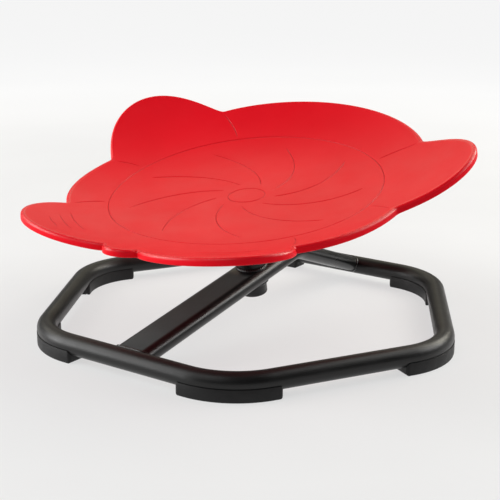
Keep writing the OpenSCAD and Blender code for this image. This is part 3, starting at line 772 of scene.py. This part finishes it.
def build_bolts():
    n = 72
    a = np.linspace(0, 2 * math.pi, n, endpoint=False)
    flat = 5.0 / np.cos((a % (math.pi / 3)) - math.pi / 6)
    heads, washers = [], []
    for k in range(4):
        t = math.radians(45 + 90 * k)
        at = np.array([BOLT_R * math.cos(t), BOLT_R * math.sin(t), PLATE_LO - WASHER_T])
        loops = [np.c_[np.full(n, 2.98) * np.cos(a), np.full(n, 2.98) * np.sin(a), np.full(n, 15.8)],
                 np.c_[np.full(n, 2.98) * np.cos(a), np.full(n, 2.98) * np.sin(a), np.full(n, -0.02)]]
        for h, cone in ((-0.02, 9), (-0.3, 9), (-2.6, 9), (-3.0, 6.5), (-3.3, 5.95), (-3.55, 5.5), (-3.8, 5.1), (-4.0, 4.75)):
            r = np.minimum(flat, cone)
            loops.append(np.c_[r * np.cos(a), r * np.sin(a), np.full(n, h)])
        for r, h in ((4.2, -3.98), (3.8, -3.7), (1.5, -3.65)):
            loops.append(np.c_[r * np.cos(a), r * np.sin(a), np.full(n, h)])
        v, f = skin(loops, False)
        heads.append((v + at, f))
        lo, hi = PLATE_LO - WASHER_T, PLATE_LO
        prof = [(3.22, lo + 0.25), (3.22, hi - 0.25), (3.5, hi - 0.02), (5.8, hi - 0.02), (6.2, hi - 0.4), (6.2, lo + 0.4), (5.8, lo + 0.02), (3.5, lo + 0.02)]
        v, f = revolve(prof, 64)
        washers.append((v + np.array([at[0], at[1], 0]), f))
    v, f = join(*heads)
    add_piece("seat_bolts_hex", on_seat(v), f, ZINC, "seat", ["seat_bolts"], "zinc_steel", 28)
    v, f = join(*washers)
    add_piece("bolt_washers_eased", on_seat(v), f, ZINC, "seat", ["bolt_washers"], "zinc_steel", 40)


build_hub()
build_plate()
build_bolts()


# ------------------------------------------------------------------ rubber feet
def foot_section(e):
    """Flat sole with two drain channels, eased edges, hollowed to hug the tube. e draws the faces in at the ends."""
    w, hug = FOOT_W / 2 - e, TUBE_R + 0.05
    top = min(FOOT_H - 0.4 * e, RING_Z - math.sqrt(max(0.0, hug ** 2 - (w - 0.9) ** 2)))
    ease = 1.5
    c = min(8.2, w - ease - 1.2)
    sole = [(-w + ease, e)] + [(-c - 1.0, e), (-c - 0.7, e + 0.9), (-c + 0.7, e + 0.9), (-c + 1.0, e),
                               (c - 1.0, e), (c - 0.7, e + 0.9), (c + 0.7, e + 0.9), (c + 1.0, e)] + [(w - ease, e)]
    right = [(w - ease + ease * math.sin(g), e + ease - ease * math.cos(g)) for g in np.radians((30, 60, 90))]
    right += [(w, top - 0.5), (w - 0.12, top - 0.12), (w - 0.4, top)]
    a0 = math.asin((RING_Z - top) / hug)
    arc = [(hug * math.cos(g), RING_Z - hug * math.sin(g)) for g in np.linspace(a0 + 0.10, math.pi - a0 - 0.10, 25)]
    left = [(-x, y) for x, y in reversed(right)]
    return np.array(sole + right + arc + left)


def build_feet():
    names = ["foot_back_left", "foot_left", "foot_front_left", "foot_front_right", "foot_right", "foot_back_right"]
    for k, name in enumerate(names):
        c = 30 + 60 * k
        mid = CORNER_C * out(c)
        loops = []

        def station(pos, a, e):
            sec = foot_section(e)
            loops.append(pos + sec[:, :1] * out(a) + sec[:, 1:] * np.array([0, 0, 1.0]))

        a0, a1 = c - 30, c + 30
        for tail, e in ((FOOT_TAIL, 3.0), (FOOT_TAIL - 0.3, 2.1), (FOOT_TAIL - 0.9, 1.2), (FOOT_TAIL - 1.8, 0.45), (FOOT_TAIL - 3.0, 0.0), (FOOT_TAIL / 2, 0.0)):
            station(mid + BEND_R * out(a0) - tail * out(a0 + 90), a0, e)
        for i in range(25):
            a = a0 + 60 * i / 24
            station(mid + BEND_R * out(a), a, 0.0)
        for tail, e in ((FOOT_TAIL / 2, 0.0), (FOOT_TAIL - 3.0, 0.0), (FOOT_TAIL - 1.8, 0.45), (FOOT_TAIL - 0.9, 1.2), (FOOT_TAIL - 0.3, 2.1), (FOOT_TAIL, 3.0)):
            station(mid + BEND_R * out(a1) + tail * out(a1 + 90), a1, e)
        ob = add_piece(name + "_saddle", *skin(loops, False), RUBBER, "base", [name], "foot_rubber")
        # recess for the screw head
        at = (CORNER_C + BEND_R) * out(c)
        prof = [(0.01, -3.0), (5.6, -3.0), (5.6, 0.0), (5.0, 0.6), (5.0, 3.5), (0.01, 3.5)]
        v, f = revolve(prof, 40)
        cut(ob, v + at, f, 38)


build_feet()

# ------------------------------------------------------------------ finishes of the carried-over nodes
FINISH = {
    "foot_screws": ZINC, "hub_end_cap": CAP, "dust_shield": RUBBER, "spindle": STEEL, "inner_spacer": STEEL,
    "lock_washer": ZINC, "lock_nut": ZINC, "threaded_inserts": BRASS,
    "upper_bearing_outer_race": POLISHED, "lower_bearing_outer_race": POLISHED,
    "upper_bearing_inner_race": POLISHED, "lower_bearing_inner_race": POLISHED,
    "upper_bearing_balls": POLISHED, "lower_bearing_balls": POLISHED,
    "upper_bearing_cage": NYLON, "lower_bearing_cage": NYLON,
}
for node, mat in FINISH.items():
    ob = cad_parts[node]
    if not ob.material_slots:
        ob.data.materials.append(mat)
    for s in ob.material_slots:
        s.material = mat

# ------------------------------------------------------------------ stage, light and camera
AZ, EL, ROLL = math.radians(-54.909), math.radians(15.627), math.radians(0.2471)
BACK = np.array([math.sin(AZ) * math.cos(EL), -math.cos(AZ) * math.cos(EL), math.sin(EL)])
R0 = np.array([math.cos(AZ), math.sin(AZ), 0.0])
U0 = np.cross(BACK, R0)
RIGHT = R0 * math.cos(ROLL) + U0 * math.sin(ROLL)
UP = U0 * math.cos(ROLL) - R0 * math.sin(ROLL)
EYE = (-0.524 * RIGHT + 92.860 * UP + 1558.11 * BACK) * MM
FLAT_R = np.array([math.cos(AZ), math.sin(AZ), 0.0])
FLAT_B = np.array([math.sin(AZ), -math.cos(AZ), 0.0])
TOP = np.array([0, 0, 1.0])


def floor_glow(xy):
    """Strength of the white sweep's own light: near the object, in front of it, behind it and far behind."""
    r, ahead = np.hypot(xy[:, 0], xy[:, 1]), xy @ FLAT_B[:2]
    near = 1 - ease(0.30, 0.60, r)
    front = (1 - near) * ease(0.46, 0.75, ahead)
    far = (1 - near - front) * ease(0.80, 2.60, r)
    return near, front, 1 - near - front - far, far


def stage_floor(near, front, behind, far):
    """A pale floor that glows a little, as a lit white sweep does."""
    n = 96
    rings = np.r_[np.arange(0.08, 1.01, 0.08), 1.15, 1.35, 1.6, 1.9, 2.3, 2.8, 3.5, 4.8, 7.0, 10.0, 14.0]
    a = np.arange(n) * 2 * math.pi / n
    verts = np.concatenate([[[0.0, 0.0, 0.0]]] + [np.c_[r * np.cos(a), r * np.sin(a), np.zeros(n)] for r in rings])
    faces = [(0, 1 + k, 1 + (k + 1) % n) for k in range(n)]
    for j in range(len(rings) - 1):
        u, w = 1 + j * n, 1 + (j + 1) * n
        faces += [(u + k, w + k, w + (k + 1) % n, u + (k + 1) % n) for k in range(n)]
    me = bpy.data.meshes.new("floor")
    me.from_pydata(verts.tolist(), [], faces)
    shares = floor_glow(verts[:, :2])
    at = me.attributes.new("glow", "FLOAT", "POINT")
    at.data.foreach_set("value", sum(k * q for k, q in zip((near, front, behind, far), shares)).astype(np.float32))
    m = Mat("floor_white")
    colour = m.mix(m.spread(m.noise(3.0, 2.0), 0.0, 1.0), (0.19, 0.19, 0.19), (0.21, 0.21, 0.21))
    m.set(Base_Color=colour, Roughness=0.8, Specular_IOR_Level=0.05, Emission_Color=(1.0, 1.0, 1.0), Emission_Strength=m.value("glow"))
    me.materials.append(m.m)
    ob = bpy.data.objects.new("floor", me)
    SCENE.collection.objects.link(ob)


stage_floor(0.62, 0.56, 0.66, 0.90)
world = bpy.data.worlds.new("studio")
SCENE.world = world
world.use_nodes = True
world.node_tree.nodes["Background"].inputs["Color"].default_value = (1.0, 1.0, 1.0, 1.0)
world.node_tree.nodes["Background"].inputs["Strength"].default_value = 0.04


def softbox(name, turn, height, glow, size, away=2.1, tint=(1.0, 1.0, 1.0)):
    """A soft box that faces the object: turn and height are its bearing from the camera's side, in degrees."""
    a, e = math.radians(turn), math.radians(height)
    aim = Vector((0.0, 0.0, 0.12))
    place = aim + Vector(((math.sin(a) * FLAT_R + math.cos(a) * FLAT_B) * math.cos(e) + TOP * math.sin(e)) * away)
    li = bpy.data.lights.new(name, "AREA")
    li.shape, li.size, li.size_y, li.color = "RECTANGLE", size[0], size[1], tint
    li.energy = glow * math.pi * size[0] * size[1]
    ob = bpy.data.objects.new(name, li)
    ob.location = place
    ob.rotation_mode = "QUATERNION"
    ob.rotation_quaternion = (aim - place).to_track_quat("-Z", "Y")
    SCENE.collection.objects.link(ob)


WARM = (1.0, 0.96, 0.84)
BOX = (1.1, 0.8)
softbox("left_low_box", -80, 4, 5.6, BOX)
softbox("left_box", -90, 12, 5.2, BOX)
softbox("left_high_box", -90, 30, 5.4, BOX)
softbox("left_back_box", -120, 30, 1.7, BOX, tint=WARM)
softbox("left_front_box", -45, 52, 1.9, BOX)
softbox("front_box", -30, 30, 0.8, BOX)
softbox("right_low_box", 95, 20, 2.2, BOX)
softbox("right_box", 90, 30, 3.9, BOX)
softbox("right_high_box", 90, 52, 2.0, BOX)
softbox("right_back_box", 120, 30, 6.6, BOX, tint=WARM)
softbox("back_high_box", 135, 52, 2.0, BOX, tint=WARM)
softbox("back_box", 180, 30, 0.75, BOX, tint=(1.0, 0.94, 0.70))
softbox("back_left_sweep", -140, 36, 0.44, (2.4, 1.6), tint=WARM)
softbox("back_right_sweep", 140, 36, 0.36, (2.4, 1.6), tint=WARM)

cam = bpy.data.cameras.new("photo_camera")
cam.sensor_width = 36.0
cam.lens = 1162.07 / 500 * 36.0
cam.clip_start, cam.clip_end = 0.05, 60.0
camera = bpy.data.objects.new("photo_camera", cam)
SCENE.collection.objects.link(camera)
m = Matrix.Identity(4)
for i, axis in enumerate((RIGHT, UP, BACK)):
    for j in range(3):
        m[j][i] = axis[j]
for j in range(3):
    m[j][3] = EYE[j]
camera.matrix_world = m
SCENE.camera = camera
SCENE.view_settings.view_transform = "Standard"
SCENE.view_settings.look = "None"
